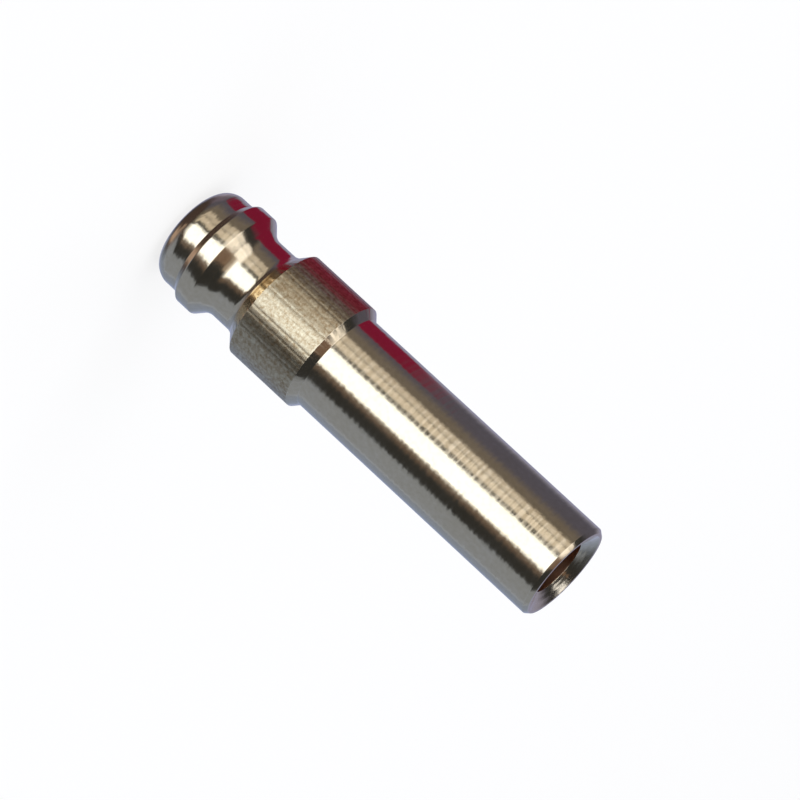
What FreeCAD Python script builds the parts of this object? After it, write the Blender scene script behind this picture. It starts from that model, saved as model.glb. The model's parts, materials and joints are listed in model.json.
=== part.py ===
import FreeCAD, Part
import math
import os

# A rigid contact socket, turned from one brass bar and gold plated.
# From the top down it has a plain barrel with a countersunk bore, a straight-knurled collar,
# a narrow neck, and a head with a bead and a well rounded nose.
# Millimetres. The axis is Z with the mouth up, and the origin is the centre of the flat rear face.

# Head, from the rear face up
nose_diameter = 7.15
nose_length = 2.33
nose_chamfer_length = 0.85
nose_chamfer_width = 1.02
nose_side_rounding = 1.2
nose_face_rounding = 1.8
bead_diameter = 7.9
bead_step_length = 0.43
bead_land_length = 1.1
bead_cone_length = 0.84
bead_edge_rounding = 0.12

# Neck
neck_diameter = 6.2
neck_length = 2.1
neck_bead_fillet = 1.0
neck_collar_fillet = 0.8

# Knurled collar
collar_diameter = 8.05
collar_land_length = 4.95
collar_rear_cone_length = 0.87
collar_front_chamfer_length = 0.5
knurl_pitch = 0.5
knurl_groove_depth = 0.01
knurl_groove_angle = 170.0

# Barrel
barrel_diameter = 7.0
barrel_length = 19.8
mouth_chamfer_length = 0.28
mouth_chamfer_width = 0.22
mouth_lip_width = 0.2

# Bore, measured from the mouth
bore_diameter = 4.0
bore_depth = 20.0
countersink_angle = 125.0
drill_point_angle = 118.0

# Heights above the rear face
bead_bottom = nose_length + bead_step_length
bead_top = bead_bottom + bead_land_length
neck_bottom = bead_top + bead_cone_length
collar_bottom = neck_bottom + neck_length
land_bottom = collar_bottom + collar_rear_cone_length
land_top = land_bottom + collar_land_length
barrel_bottom = land_top + collar_front_chamfer_length
mouth_height = barrel_bottom + barrel_length
bore_bottom = mouth_height - bore_depth


def cone_depth(outer_radius, inner_radius, included_angle):
    """Depth over which a cone of the given full angle narrows from one radius to the other."""
    return (outer_radius - inner_radius) / math.tan(math.radians(included_angle / 2))


def rounded_corner(before, corner, after, rounding):
    """The ends of a corner's rounding and its arc, or the bare corner where it is sharp."""
    if rounding == 0:
        return corner, None, corner
    to_before = (before - corner).normalize()
    to_after = (after - corner).normalize()
    inward = (to_before + to_after).normalize()
    half_angle = to_before.getAngle(to_after) / 2
    reach = rounding / math.tan(half_angle)
    start = corner + to_before * reach
    middle = corner + inward * (rounding / math.sin(half_angle) - rounding)
    end = corner + to_after * reach
    return start, Part.Arc(start, middle, end).toShape(), end


def rounded_outline(corners):
    """Closed wire in the XZ plane through corners given as (radius, height, rounding)."""
    points = [FreeCAD.Vector(radius, 0, height) for radius, height, rounding in corners]
    following = points[1:] + points[:1]
    turns = [rounded_corner(points[i - 1], points[i], following[i], corners[i][2])
             for i in range(len(corners))]
    edges = []
    for (start, arc, end), (next_start, next_arc, next_end) in zip(turns, turns[1:] + turns[:1]):
        if arc:
            edges.append(arc)
        edges.append(Part.LineSegment(end, next_start).toShape())
    return Part.Wire(edges)


def turned_blank():
    """The turned piece before knurling: one outline from the rear face round to the bore's tip."""
    nose_radius = nose_diameter / 2
    bead_radius = bead_diameter / 2
    neck_radius = neck_diameter / 2
    collar_radius = collar_diameter / 2
    barrel_radius = barrel_diameter / 2
    lip_radius = barrel_radius - mouth_chamfer_width
    countersink_radius = lip_radius - mouth_lip_width
    bore_radius = bore_diameter / 2
    countersink_bottom = mouth_height - cone_depth(countersink_radius, bore_radius, countersink_angle)
    drill_tip = bore_bottom - cone_depth(bore_radius, 0, drill_point_angle)
    outline = rounded_outline([
        (0, 0, 0),
        (nose_radius - nose_chamfer_width, 0, nose_face_rounding),
        (nose_radius, nose_chamfer_length, nose_side_rounding),
        (nose_radius, nose_length, 0),
        (bead_radius, bead_bottom, bead_edge_rounding),
        (bead_radius, bead_top, bead_edge_rounding),
        (neck_radius, neck_bottom, neck_bead_fillet),
        (neck_radius, collar_bottom, neck_collar_fillet),
        (collar_radius, land_bottom, 0),
        (collar_radius, land_top, 0),
        (barrel_radius, barrel_bottom, 0),
        (barrel_radius, mouth_height - mouth_chamfer_length, 0),
        (lip_radius, mouth_height, 0),
        (countersink_radius, mouth_height, 0),
        (bore_radius, countersink_bottom, 0),
        (bore_radius, bore_bottom, 0),
        (0, drill_tip, 0),
    ])
    return Part.Face(outline).revolve(FreeCAD.Vector(0, 0, 0), FreeCAD.Vector(0, 0, 1), 360)


def knurl_groove(angle):
    """One straight V groove, which runs out in the collar's rear cone and in its front chamfer."""
    bottom_radius = collar_diameter / 2 - knurl_groove_depth
    cutter_height = 2 * knurl_groove_depth
    cutter_half_width = cutter_height * math.tan(math.radians(knurl_groove_angle / 2))
    bottom = FreeCAD.Vector(bottom_radius, 0, collar_bottom)
    left = FreeCAD.Vector(bottom_radius + cutter_height, cutter_half_width, collar_bottom)
    right = FreeCAD.Vector(bottom_radius + cutter_height, -cutter_half_width, collar_bottom)
    section = Part.Face(Part.makePolygon([bottom, right, left, bottom]))
    groove = section.extrude(FreeCAD.Vector(0, 0, barrel_bottom - collar_bottom))
    groove.rotate(FreeCAD.Vector(0, 0, 0), FreeCAD.Vector(0, 0, 1), angle)
    return groove


def knurl_grooves():
    """The grooves spaced evenly round the collar, as near to the pitch as a whole count allows."""
    groove_count = round(math.pi * collar_diameter / knurl_pitch)
    return [knurl_groove(360 * i / groove_count) for i in range(groove_count)]


def make_socket_body():
    """The blank with its knurled collar."""
    return turned_blank().cut(knurl_grooves())


os.makedirs("parts", exist_ok=True)
make_socket_body().exportStep("parts/socket_body.step")
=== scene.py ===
import json
import math
from collections import namedtuple

import bmesh
import bpy
from mathutils import Matrix, Vector


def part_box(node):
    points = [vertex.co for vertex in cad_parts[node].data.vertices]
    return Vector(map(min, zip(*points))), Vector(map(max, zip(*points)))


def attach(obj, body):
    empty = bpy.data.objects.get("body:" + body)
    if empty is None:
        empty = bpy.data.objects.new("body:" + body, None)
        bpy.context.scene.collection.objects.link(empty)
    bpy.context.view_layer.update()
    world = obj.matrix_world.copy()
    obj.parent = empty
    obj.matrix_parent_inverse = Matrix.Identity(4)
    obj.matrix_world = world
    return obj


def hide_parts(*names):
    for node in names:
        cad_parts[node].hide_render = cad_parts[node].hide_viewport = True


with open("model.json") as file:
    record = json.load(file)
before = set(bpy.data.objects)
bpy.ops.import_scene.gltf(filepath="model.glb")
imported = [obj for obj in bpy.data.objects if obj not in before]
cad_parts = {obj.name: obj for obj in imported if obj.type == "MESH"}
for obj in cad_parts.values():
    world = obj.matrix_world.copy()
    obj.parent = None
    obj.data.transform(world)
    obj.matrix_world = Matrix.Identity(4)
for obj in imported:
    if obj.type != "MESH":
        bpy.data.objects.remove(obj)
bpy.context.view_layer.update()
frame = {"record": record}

# Shapes are worked out in millimetres, and each mesh is brought to metres at its end.
METRES_PER_MM = 0.001

# What the frame says of the socket: its mounts and its height
mounts = {mount["name"]: mount for mount in frame["record"]["mounts"]}
mouth_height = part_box("socket_body")[1].z / METRES_PER_MM
barrel_radius = mounts["barrel_outside"]["dims"]["r_mm"]
collar_radius = mounts["press_collar"]["dims"]["r_mm"]
collar_land_length = mounts["press_collar"]["dims"]["length_mm"]
collar_land_middle = mounts["press_collar"]["pos_m"][2] / METRES_PER_MM
bore_radius = mounts["plug_bore"]["dims"]["r_mm"]
bore_length = mounts["plug_bore"]["dims"]["length_mm"]
bore_middle = mounts["plug_bore"]["pos_m"][2] / METRES_PER_MM

# The rest of the turned outline, as the solid has it
nose_radius = 3.575
nose_length = 2.33
nose_chamfer_length = 0.85
nose_chamfer_width = 1.02
nose_side_rounding = 1.2
nose_face_rounding = 1.8
bead_radius = 3.95
bead_step_length = 0.43
bead_land_length = 1.1
bead_cone_length = 0.84
bead_edge_rounding = 0.12
neck_radius = 3.1
neck_length = 2.1
neck_bead_fillet = 1.0
neck_collar_fillet = 0.8
collar_rear_cone_length = 0.87
collar_front_chamfer_length = 0.5
mouth_chamfer_length = 0.28
mouth_chamfer_width = 0.22
mouth_lip_width = 0.2
drill_point_angle = 118.0
knurl_pitch = 0.5
knurl_groove_depth = 0.01
knurl_groove_angle = 170.0

# Heights above the rear face, and the radii that the mouth and the knurl leave
bead_bottom = nose_length + bead_step_length
bead_top = bead_bottom + bead_land_length
neck_bottom = bead_top + bead_cone_length
collar_bottom = neck_bottom + neck_length
land_bottom = collar_land_middle - collar_land_length / 2
land_top = collar_land_middle + collar_land_length / 2
barrel_bottom = land_top + collar_front_chamfer_length
bore_top = bore_middle + bore_length / 2
bore_bottom = bore_middle - bore_length / 2
drill_tip = bore_bottom - bore_radius / math.tan(math.radians(drill_point_angle / 2))
groove_radius = collar_radius - knurl_groove_depth
lip_radius = barrel_radius - mouth_chamfer_width
countersink_radius = lip_radius - mouth_lip_width

# A turned edge is never quite sharp: the burr is taken off.
edge_break = 0.03

# Where the grooves run out, the break stays within their depth.
groove_edge_break = 0.01

# How closely the mesh follows the outline: faces over a rounding and over a broken edge, columns of
# faces in each knurl pitch, and the gap in mm under which points are merged
rounding_faces = 12
edge_faces = 3
columns_per_pitch = 8
merge_gap = 1e-5

# Edges where the surface turns by more degrees than this keep a crisp line in the shading.
crisp_turn = 30.0

# The finishes, in the order of the piece's material slots
TURNED, KNURLED, BORED = range(3)

# Sockets of a colour mix node: the second colour's share, the two colours, and what comes out
SHARE, FIRST, SECOND = 0, 6, 7
MIXED = 2

# The photograph's view
pixels_per_mm = 16.09
frame_pixels = 800
axis_below_level = 42.74
mouth_towards_camera = 14.55
centre_height = 17.74
centre_side = -0.963
camera_distance = 350.0


def linear(code):
    """An sRGB hex colour as linear red, green and blue."""
    parts = [int(code[i:i + 2], 16) / 255 for i in (1, 3, 5)]
    return [part / 12.92 if part <= 0.04045 else ((part + 0.055) / 1.055) ** 2.4 for part in parts]


def rgba(code):
    """An sRGB hex colour as a shader socket takes it."""
    return (*linear(code), 1.0)


def per_mm(size):
    """The scale at which a noise pattern has features of this size in millimetres."""
    return 1 / (size * METRES_PER_MM)


def add_node(tree, kind, inputs=None, **settings):
    """Adds a node with its settings, and links each input given as a node or socket or sets its value."""
    node = tree.nodes.new(kind)
    for name, value in settings.items():
        setattr(node, name, value)
    for name, value in (inputs or {}).items():
        if isinstance(value, bpy.types.Node):
            value = next(output for output in value.outputs if output.enabled)
        if isinstance(value, bpy.types.NodeSocket):
            tree.links.new(value, node.inputs[name])
        else:
            node.inputs[name].default_value = value
    return node


def new_material(name):
    """An empty node material and its tree."""
    material = bpy.data.materials.new(name)
    material.use_nodes = True
    material.node_tree.nodes.clear()
    return material, material.node_tree


def mesh_object(bm, name):
    """A finished mesh as an object in the scene."""
    mesh = bpy.data.meshes.new(name)
    bm.to_mesh(mesh)
    bm.free()
    obj = bpy.data.objects.new(name, mesh)
    bpy.context.scene.collection.objects.link(obj)
    return obj


def turned_outline():
    """Corners of the turned outline as (radius, height, rounding), from the rear face to the bore's tip."""
    rear_slope = collar_rear_cone_length / (collar_radius - neck_radius)
    front_slope = collar_front_chamfer_length / (collar_radius - barrel_radius)
    return [
        (0, 0, 0),
        (nose_radius - nose_chamfer_width, 0, nose_face_rounding),
        (nose_radius, nose_chamfer_length, nose_side_rounding),
        (nose_radius, nose_length, edge_break),
        (bead_radius, bead_bottom, bead_edge_rounding),
        (bead_radius, bead_top, bead_edge_rounding),
        (neck_radius, neck_bottom, neck_bead_fillet),
        (neck_radius, collar_bottom, neck_collar_fillet),
        (groove_radius, land_bottom - knurl_groove_depth * rear_slope, 0),
        (collar_radius, land_bottom, groove_edge_break),
        (collar_radius, land_top, groove_edge_break),
        (groove_radius, land_top + knurl_groove_depth * front_slope, 0),
        (barrel_radius, barrel_bottom, edge_break),
        (barrel_radius, mouth_height - mouth_chamfer_length, edge_break),
        (lip_radius, mouth_height, edge_break),
        (countersink_radius, mouth_height, edge_break),
        (bore_radius, bore_top, edge_break),
        (bore_radius, bore_bottom, edge_break),
        (0, drill_tip, 0),
    ]


def rounding_reach(before, corner, after, rounding):
    """Distance from a corner to where its rounding meets its two sides."""
    half_angle = (before - corner).angle(after - corner) / 2
    return rounding / math.tan(half_angle)


def outline_wire(bm, corners):
    """The outline as a chain of edges in the XZ plane, with its corners rounded."""
    points = [Vector((radius, 0, height)) for radius, height, rounding in corners]
    verts = [bm.verts.new(point) for point in points]
    for first, second in zip(verts, verts[1:]):
        bm.edges.new((first, second))
    for i, (radius, height, rounding) in enumerate(corners):
        if rounding == 0:
            continue
        reach = rounding_reach(points[i - 1], points[i], points[i + 1], rounding)
        segments = rounding_faces if rounding > bead_edge_rounding else edge_faces
        bmesh.ops.bevel(bm, geom=[verts[i]], offset=reach, offset_type="OFFSET", affect="VERTICES",
                        segments=segments, profile=0.5, material=-1)


def cut_knurl(bm, groove_count):
    """Sinks the columns of points near each groove's middle to its V, within the collar alone."""
    pitch_angle = 2 * math.pi / groove_count
    rise = collar_radius / math.tan(math.radians(knurl_groove_angle / 2))
    for vert in bm.verts:
        radius = math.hypot(vert.co.x, vert.co.y)
        pitches = math.atan2(vert.co.y, vert.co.x) / pitch_angle
        angle_from_middle = abs(pitches - round(pitches)) * pitch_angle
        cut_radius = groove_radius + rise * angle_from_middle
        at_collar = abs(vert.co.z - collar_land_middle) < collar_land_length
        if at_collar and radius > cut_radius:
            vert.co.x *= cut_radius / radius
            vert.co.y *= cut_radius / radius


def finish_of(face):
    """Which finish a face has: knurled on the collar's land, bored on the bore's wall, turned elsewhere."""
    middle = face.calc_center_median()
    radius = math.hypot(*middle.xy)
    if radius > barrel_radius and land_bottom < middle.z < land_top:
        return KNURLED
    if radius < bore_radius and drill_tip < middle.z < bore_top:
        return BORED
    return TURNED


def make_socket(finishes):
    """The turned socket, spun from its outline, with the knurl cut and each surface in its own finish."""
    groove_count = round(2 * math.pi * collar_radius / knurl_pitch)
    bm = bmesh.new()
    outline_wire(bm, turned_outline())
    bmesh.ops.spin(bm, geom=bm.verts[:] + bm.edges[:], cent=(0, 0, 0), axis=(0, 0, 1), dvec=(0, 0, 0),
                   angle=2 * math.pi, steps=groove_count * columns_per_pitch, use_merge=True,
                   use_normal_flip=False, use_duplicate=False)
    bmesh.ops.remove_doubles(bm, verts=bm.verts, dist=merge_gap)
    cut_knurl(bm, groove_count)
    bmesh.ops.recalc_face_normals(bm, faces=bm.faces)
    for face in bm.faces:
        face.smooth = True
        face.material_index = finish_of(face)
    bmesh.ops.scale(bm, vec=Vector.Fill(3, METRES_PER_MM), verts=bm.verts)
    socket = mesh_object(bm, "turned_socket")
    for finish in finishes:
        socket.data.materials.append(finish)
    socket.data.set_sharp_from_angle(angle=math.radians(crisp_turn))
    flatten = socket.modifiers.new("even shading", "WEIGHTED_NORMAL")
    flatten.keep_sharp = True
    return socket


def along_outline(tree):
    """The direction up the turned outline, at right angles to the rings that the tool leaves."""
    place = add_node(tree, "ShaderNodeTexCoord").outputs["Object"]
    normal = add_node(tree, "ShaderNodeNewGeometry").outputs["Normal"]
    round_axis = add_node(tree, "ShaderNodeVectorMath", {0: (0, 0, 1), 1: place}, operation="CROSS_PRODUCT")
    up = add_node(tree, "ShaderNodeVectorMath", {0: normal, 1: round_axis.outputs["Vector"]},
                  operation="CROSS_PRODUCT")
    return add_node(tree, "ShaderNodeVectorMath", {0: up.outputs["Vector"]},
                    operation="NORMALIZE").outputs["Vector"]


def outline_distance(tree):
    """A distance that grows along the axis, and more slowly across the end faces."""
    end_face_share = 0.7
    place = add_node(tree, "ShaderNodeTexCoord").outputs["Object"]
    split = add_node(tree, "ShaderNodeSeparateXYZ", {"Vector": place})
    flat = add_node(tree, "ShaderNodeCombineXYZ", {"X": split.outputs["X"], "Y": split.outputs["Y"]})
    radius = add_node(tree, "ShaderNodeVectorMath", {0: flat.outputs["Vector"]}, operation="LENGTH")
    across = add_node(tree, "ShaderNodeMath", {0: radius.outputs["Value"], 1: end_face_share},
                      operation="MULTIPLY")
    return add_node(tree, "ShaderNodeMath", {0: split.outputs["Z"], 1: across.outputs["Value"]},
                    operation="ADD").outputs["Value"]


def turned_marks(tree, distance, spacing_mm, depth_mm, normal=None):
    """Rings left by the turning tool, as a bump of uneven lines round the axis."""
    rings = add_node(tree, "ShaderNodeTexNoise", {"W": distance, "Scale": per_mm(spacing_mm), "Detail": 0.5,
                                                  "Roughness": 0.6}, noise_dimensions="1D")
    inputs = {"Height": rings.outputs["Fac"], "Strength": 1.0, "Distance": depth_mm * METRES_PER_MM}
    if normal is not None:
        inputs["Normal"] = normal
    return add_node(tree, "ShaderNodeBump", inputs).outputs["Normal"]


def rubbed_and_highlit_edges(tree, width_mm):
    """1 along the edges, where handling rubs the plate and where a highlight is painted, and 0 away from
    them.

    An edge is where the surface turns away from its own softened direction: it starts where the cosine
    of the turn falls under the first limit, and is fully rubbed at the second.
    """
    starts_at = 0.995
    full_at = 0.93
    softened = add_node(tree, "ShaderNodeBevel", {"Radius": width_mm * METRES_PER_MM}, samples=6)
    normal = add_node(tree, "ShaderNodeNewGeometry").outputs["Normal"]
    likeness = add_node(tree, "ShaderNodeVectorMath", {0: softened.outputs["Normal"], 1: normal},
                        operation="DOT_PRODUCT")
    return add_node(tree, "ShaderNodeMapRange", {"Value": likeness.outputs["Value"], "From Min": starts_at,
                                                 "From Max": full_at}).outputs["Result"]


def make_polished_gold():
    """Gold plate over finely turned brass: pale and bright, its reflections drawn out by the rings."""
    material, tree = new_material("gold_plate_turned")

    # Real rings are a few hundredths of a millimetre apart, too fine to show, so they are drawn coarser:
    # slow waves that break the long reflections into short lengths, with finer rings over them.
    distance = outline_distance(tree)
    slow = turned_marks(tree, distance, spacing_mm=0.35, depth_mm=0.014)
    fine = turned_marks(tree, distance, spacing_mm=0.1, depth_mm=0.001, normal=slow)

    # Shallow dents make the edges of the reflections waver.
    place = add_node(tree, "ShaderNodeTexCoord").outputs["Object"]
    dents = add_node(tree, "ShaderNodeTexNoise", {"Vector": place, "Scale": per_mm(0.3), "Detail": 2.0})
    rippled = add_node(tree, "ShaderNodeBump", {"Height": dents.outputs["Fac"], "Normal": fine,
                                                "Strength": 1.0, "Distance": 0.005 * METRES_PER_MM})

    # The tone drifts from pale to paler, is a little deeper in the dents, and is lighter along the edges:
    # partly rubbed plate, partly a painted edge highlight.
    clouds = add_node(tree, "ShaderNodeTexNoise", {"Vector": place, "Scale": per_mm(2.5), "Detail": 3.0})
    tone = add_node(tree, "ShaderNodeMix",
                    {SHARE: clouds.outputs["Fac"], FIRST: rgba("#EBD4AE"), SECOND: rgba("#F3E2C6")},
                    data_type="RGBA")
    mottled = add_node(tree, "ShaderNodeMix",
                       {SHARE: dents.outputs["Fac"], FIRST: rgba("#DCC8A4"), SECOND: tone.outputs[MIXED]},
                       data_type="RGBA")
    edge_lightened = add_node(tree, "ShaderNodeMix",
                     {SHARE: rubbed_and_highlit_edges(tree, 0.08), FIRST: mottled.outputs[MIXED],
                      SECOND: rgba("#F7E8CC")},
                     data_type="RGBA")

    # Handling leaves the polish a little uneven.
    gloss = add_node(tree, "ShaderNodeMapRange", {"Value": clouds.outputs["Fac"], "From Min": 0.3,
                                                  "From Max": 0.7, "To Min": 0.14, "To Max": 0.18})
    surface = add_node(tree, "ShaderNodeBsdfPrincipled",
                       {"Base Color": edge_lightened.outputs[MIXED], "Metallic": 1.0,
                        "Roughness": gloss.outputs["Result"], "Anisotropic": 0.5,
                        "Tangent": along_outline(tree), "Normal": rippled.outputs["Normal"]})
    add_node(tree, "ShaderNodeOutputMaterial", {"Surface": surface.outputs["BSDF"]})
    return material


def make_knurled_gold():
    """The same plate on the knurled land, whose torn surface is matter and looks browner."""
    material, tree = new_material("gold_plate_knurled")
    place = add_node(tree, "ShaderNodeTexCoord").outputs["Object"]

    # The knurling wheel tears the skin at about the size of the brass's grain, drawn coarser to show.
    grain = add_node(tree, "ShaderNodeTexNoise", {"Vector": place, "Scale": per_mm(0.12), "Detail": 3.0})
    torn = add_node(tree, "ShaderNodeBump", {"Height": grain.outputs["Fac"], "Strength": 1.0,
                                             "Distance": 0.004 * METRES_PER_MM})

    # Tarnish and dirt settle in the torn skin as small brown specks.
    stains = add_node(tree, "ShaderNodeTexNoise", {"Vector": place, "Scale": per_mm(0.25), "Detail": 4.0,
                                                   "Roughness": 0.7})
    stained = add_node(tree, "ShaderNodeMapRange", {"Value": stains.outputs["Fac"], "From Min": 0.35,
                                                    "From Max": 0.65})
    tone = add_node(tree, "ShaderNodeMix",
                    {SHARE: stained.outputs["Result"], FIRST: rgba("#AA906C"), SECOND: rgba("#DACAA8")},
                    data_type="RGBA")
    # Lighter along the edges: partly rubbed plate, partly a painted edge highlight.
    edge_lightened = add_node(tree, "ShaderNodeMix",
                     {SHARE: rubbed_and_highlit_edges(tree, 0.08), FIRST: tone.outputs[MIXED], SECOND: rgba("#F3E0BE")},
                     data_type="RGBA")
    surface = add_node(tree, "ShaderNodeBsdfPrincipled",
                       {"Base Color": edge_lightened.outputs[MIXED], "Metallic": 1.0, "Roughness": 0.32,
                        "Normal": torn.outputs["Normal"]})
    add_node(tree, "ShaderNodeOutputMaterial", {"Surface": surface.outputs["BSDF"]})
    return material


def make_bored_gold():
    """The plate on the bore's wall, over the drill's coarse rings: a deep, reddish gold, darker than
    outside, which paints the shade deep in the bore.
    """
    material, tree = new_material("gold_plate_bored")
    rings = turned_marks(tree, outline_distance(tree), spacing_mm=0.12, depth_mm=0.003)
    place = add_node(tree, "ShaderNodeTexCoord").outputs["Object"]
    clouds = add_node(tree, "ShaderNodeTexNoise", {"Vector": place, "Scale": per_mm(1.5), "Detail": 3.0})
    # Painted shade: the bore's gold is darker and redder than the outside's.
    tone = add_node(tree, "ShaderNodeMix",
                    {SHARE: clouds.outputs["Fac"], FIRST: rgba("#C99676"), SECOND: rgba("#D6AA84")},
                    data_type="RGBA")
    surface = add_node(tree, "ShaderNodeBsdfPrincipled",
                       {"Base Color": tone.outputs[MIXED], "Metallic": 1.0, "Roughness": 0.3,
                        "Normal": rings})
    add_node(tree, "ShaderNodeOutputMaterial", {"Surface": surface.outputs["BSDF"]})
    return material


# The stage around the socket, in metres and watts
floor_half_size = 1.5
light_width = 1.2
light_height = 1.0
light_power = 11.0

# How much of the floor's own white the camera sees: the rest is the painted floor with its shadow.
floor_white_share = 0.8


def make_floor_paint():
    """Pale matt paint, nearly white to the camera, and clear from below."""
    material, tree = new_material("pale_floor")
    path = add_node(tree, "ShaderNodeLightPath")
    facing = add_node(tree, "ShaderNodeNewGeometry")
    paint = add_node(tree, "ShaderNodeBsdfDiffuse", {"Color": rgba("#F4F4F4")})
    white = add_node(tree, "ShaderNodeEmission", {"Color": rgba("#FFFFFF"), "Strength": 1.0})
    clear = add_node(tree, "ShaderNodeBsdfTransparent")
    share = add_node(tree, "ShaderNodeMath", {0: path.outputs["Is Camera Ray"], 1: floor_white_share},
                     operation="MULTIPLY")
    top = add_node(tree, "ShaderNodeMixShader", {"Fac": share.outputs["Value"], 1: paint.outputs["BSDF"],
                                                 2: white.outputs["Emission"]})
    both = add_node(tree, "ShaderNodeMixShader", {"Fac": facing.outputs["Backfacing"],
                                                  1: top.outputs["Shader"], 2: clear.outputs["BSDF"]})
    add_node(tree, "ShaderNodeOutputMaterial", {"Surface": both.outputs["Shader"]})
    return material


def make_floor():
    """The floor that the socket stands on. It keeps the soft shadow, and the metal doesn't show it."""
    bm = bmesh.new()
    bmesh.ops.create_grid(bm, x_segments=1, y_segments=1, size=floor_half_size)
    floor = mesh_object(bm, "floor")
    floor.data.materials.append(make_floor_paint())
    floor.visible_glossy = False
    floor.visible_shadow = False


# A soft panel of the studio. Its middle, its half sizes and the softness of its edges are in degrees.
# Azimuth 0 is towards the camera and positive to its right, and elevation is above the floor.
Panel = namedtuple("Panel", "azimuth half_width side_softness elevation half_height end_softness "
                   "colour strength")

# The panels' upright sides meet at a point this far behind the one straight above the socket.
studio_lean = 20.7

studio_panels = [
    # The tall panel in front, its warm right-hand edge, and two dim ones over it
    Panel(6.3, 23.5, 4, -12.5, 34.5, 12, "#D2DEF0", 2.6),
    Panel(36, 8, 8, -14, 40, 10, "#FFD8C0", 0.12),
    Panel(0, 19.5, 3, 38, 18, 8, "#FFF1EA", 0.36),
    Panel(-4, 17, 3, 76, 18, 5, "#FFD0B4", 0.16),
    # The pair at the left, the dimmer pair under them, and their dark surroundings
    Panel(-51, 6.5, 2, 26, 35, 8, "#F0F4FF", 1.3),
    Panel(-31, 12.5, 2, 29, 38, 8, "#F0F4FF", 1.5),
    Panel(-55.3, 7.7, 2, -28, 19, 6, "#FFFCF8", 0.53),
    Panel(-36.8, 8.2, 2, -28, 19, 6, "#FFFCF8", 0.66),
    Panel(-74, 13, 12, -17, 33, 10, "#FFF4F0", 0.14),
    Panel(-112, 25, 12, -5, 46, 10, "#BCC0FF", 0.13),
    Panel(-136, 22, 8, -40, 13, 6, "#E8C7FF", 0.08),
    # Wide blue-grey panels to the right and behind
    Panel(101, 26.5, 4, -3, 58, 12, "#C5D9FF", 0.42),
    Panel(150, 24, 8, -5, 45, 14, "#B7CFFF", 0.48),
    Panel(-166, 24, 16, 0, 42, 8, "#C8CEFF", 0.48),
    # A small one high behind, which only the countersink shows
    Panel(-121, 20, 6, 62.5, 3.5, 2, "#E0EAFF", 2.6),
    # A dark warm one straight below, and a small lit one low behind
    Panel(0, 190, 5, -90, 36, 8, "#FFB09A", 0.035),
    Panel(145, 26, 8, -71, 8, 5, "#FFE8E0", 0.4),
]

# What the metal shows where there is no panel
room_colour = "#32353A"

# The red card beside the socket, in mm. It lies on the floor from its foot to its fold and stands up there.
# Its top fades out over a short height.
red_card_foot = ((-6.4, -1.75, 0), (-6.4, 1.9, 0))
red_card_fold = ((-16.0, -1.3, 0), (-11.2, 10.2, 0))
red_card_top = 15.6
red_card_fade = 2.0


def soft_span(tree, value, half_size, softness):
    """1 where a value's distance from zero is under half_size, with a soft edge."""
    distance = add_node(tree, "ShaderNodeMath", {0: value}, operation="ABSOLUTE")
    return add_node(tree, "ShaderNodeMapRange",
                    {"Value": distance.outputs["Value"], "From Min": half_size - softness,
                     "From Max": half_size + softness, "To Min": 1.0, "To Max": 0.0},
                    interpolation_type="SMOOTHSTEP").outputs["Result"]


def panel_light(tree, azimuth, elevation, panel):
    """The light that one panel sends from a direction given by its azimuth and elevation."""
    across = add_node(tree, "ShaderNodeMath", {0: azimuth, 1: panel.azimuth}, operation="SUBTRACT")
    wrapped = add_node(tree, "ShaderNodeMath", {0: across, 1: 180.0, 2: -180.0}, operation="WRAP")
    up = add_node(tree, "ShaderNodeMath", {0: elevation, 1: panel.elevation}, operation="SUBTRACT")
    in_width = soft_span(tree, wrapped, panel.half_width, panel.side_softness)
    in_height = soft_span(tree, up, panel.half_height, panel.end_softness)
    mask = add_node(tree, "ShaderNodeMath", {0: in_width, 1: in_height}, operation="MULTIPLY")
    glow = [panel.strength * part for part in linear(panel.colour)]
    light = add_node(tree, "ShaderNodeVectorMath", {0: glow, "Scale": mask}, operation="SCALE")
    return light.outputs["Vector"]


def make_studio():
    """Soft panels in a dark studio, white to the camera itself."""
    world = bpy.data.worlds.new("studio")
    bpy.context.scene.world = world
    world.use_nodes = True
    tree = world.node_tree
    tree.nodes.clear()
    direction = add_node(tree, "ShaderNodeTexCoord").outputs["Generated"]
    leaned = add_node(tree, "ShaderNodeVectorRotate",
                      {"Vector": direction, "Angle": math.radians(studio_lean)}, rotation_type="X_AXIS")
    split = add_node(tree, "ShaderNodeSeparateXYZ", {"Vector": leaned})
    towards_camera = add_node(tree, "ShaderNodeMath", {0: split.outputs["Y"], 1: -1.0}, operation="MULTIPLY")
    turn = add_node(tree, "ShaderNodeMath", {0: split.outputs["X"], 1: towards_camera}, operation="ARCTAN2")
    azimuth = add_node(tree, "ShaderNodeMath", {0: turn}, operation="DEGREES")
    height = add_node(tree, "ShaderNodeSeparateXYZ", {"Vector": direction}).outputs["Z"]
    rise = add_node(tree, "ShaderNodeMath", {0: height}, operation="ARCSINE")
    elevation = add_node(tree, "ShaderNodeMath", {0: rise}, operation="DEGREES")
    total = linear(room_colour)
    for panel in studio_panels:
        light = panel_light(tree, azimuth, elevation, panel)
        total = add_node(tree, "ShaderNodeVectorMath", {0: total, 1: light},
                         operation="ADD").outputs["Vector"]
    panels = add_node(tree, "ShaderNodeBackground", {"Color": total, "Strength": 1.0})
    white = add_node(tree, "ShaderNodeBackground", {"Color": rgba("#FFFFFF"), "Strength": 1.0})
    path = add_node(tree, "ShaderNodeLightPath")
    seen = add_node(tree, "ShaderNodeMixShader", {"Fac": path.outputs["Is Camera Ray"],
                                                  1: panels.outputs["Background"],
                                                  2: white.outputs["Background"]})
    add_node(tree, "ShaderNodeOutputWorld", {"Surface": seen.outputs["Shader"]})


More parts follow.
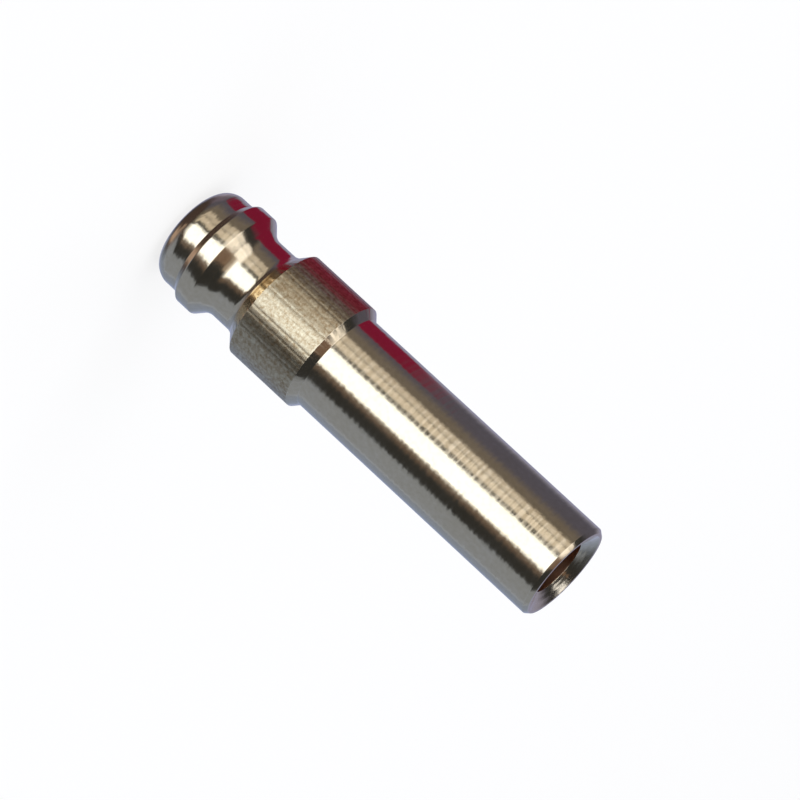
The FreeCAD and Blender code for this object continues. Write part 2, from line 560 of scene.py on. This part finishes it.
def make_red_glow():
    """Dim crimson that fades out at the card's top."""
    material, tree = new_material("red_card")
    place = add_node(tree, "ShaderNodeTexCoord").outputs["Object"]
    height = add_node(tree, "ShaderNodeSeparateXYZ", {"Vector": place}).outputs["Z"]
    share = add_node(tree, "ShaderNodeMapRange",
                     {"Value": height, "To Min": 1.0, "To Max": 0.0,
                      "From Min": (red_card_top - red_card_fade) * METRES_PER_MM,
                      "From Max": (red_card_top + red_card_fade) * METRES_PER_MM})
    glow = add_node(tree, "ShaderNodeEmission", {"Color": rgba("#7C1C40"), "Strength": 1.0})
    clear = add_node(tree, "ShaderNodeBsdfTransparent")
    both = add_node(tree, "ShaderNodeMixShader", {"Fac": share, 1: clear, 2: glow})
    add_node(tree, "ShaderNodeOutputMaterial", {"Surface": both})
    return material


def make_red_card():
    """A card folded upright beside the socket, which the metal shows as a crimson band."""
    bm = bmesh.new()
    foot = [bm.verts.new(corner) for corner in red_card_foot]
    fold = [bm.verts.new(corner) for corner in red_card_fold]
    bm.faces.new((*foot, *reversed(fold)))
    raised = bmesh.ops.extrude_edge_only(bm, edges=[bm.edges.get(fold)])
    top = [part for part in raised["geom"] if isinstance(part, bmesh.types.BMVert)]
    bmesh.ops.translate(bm, vec=(0, 0, red_card_top + red_card_fade), verts=top)
    bmesh.ops.scale(bm, vec=Vector.Fill(3, METRES_PER_MM), verts=bm.verts)
    card = mesh_object(bm, "red_card")
    card.data.materials.append(make_red_glow())
    card.visible_camera = False
    card.visible_diffuse = False
    card.visible_transmission = False
    card.visible_shadow = False


def make_overhead_light():
    """A large soft light straight above, for the floor and the soft shadow on it."""
    light = bpy.data.lights.new("overhead", "AREA")
    light.shape = "SQUARE"
    light.size = light_width
    light.energy = light_power
    lamp = bpy.data.objects.new("overhead", light)
    lamp.location = (0, 0, light_height)
    lamp.visible_glossy = False
    lamp.visible_camera = False
    bpy.context.scene.collection.objects.link(lamp)


def make_camera():
    """The photograph's long-lens view, with the mouth to the lower right and tipped to the camera."""
    data = bpy.data.cameras.new("camera")
    camera = bpy.data.objects.new("camera", data)
    bpy.context.scene.collection.objects.link(camera)
    half_view = frame_pixels / pixels_per_mm / 2
    data.lens = data.sensor_width / 2 * camera_distance / half_view
    rise = math.radians(mouth_towards_camera)
    back = Vector((0, -math.cos(rise), math.sin(rise)))
    roll = Matrix.Rotation(math.radians(90 + axis_below_level), 4, "Z")
    level = (-back).to_track_quat("-Z", "Y").to_matrix().to_4x4()
    aim = Vector((centre_side, 0, centre_height))
    place = Matrix.Translation((aim + back * camera_distance) * METRES_PER_MM)
    camera.matrix_world = place @ level @ roll
    bpy.context.scene.camera = camera


make_camera()
make_studio()
make_overhead_light()
make_floor()
make_red_card()
socket = make_socket([make_polished_gold(), make_knurled_gold(), make_bored_gold()])
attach(socket, "root")
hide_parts("socket_body")
bpy.context.scene.view_settings.view_transform = "Standard"
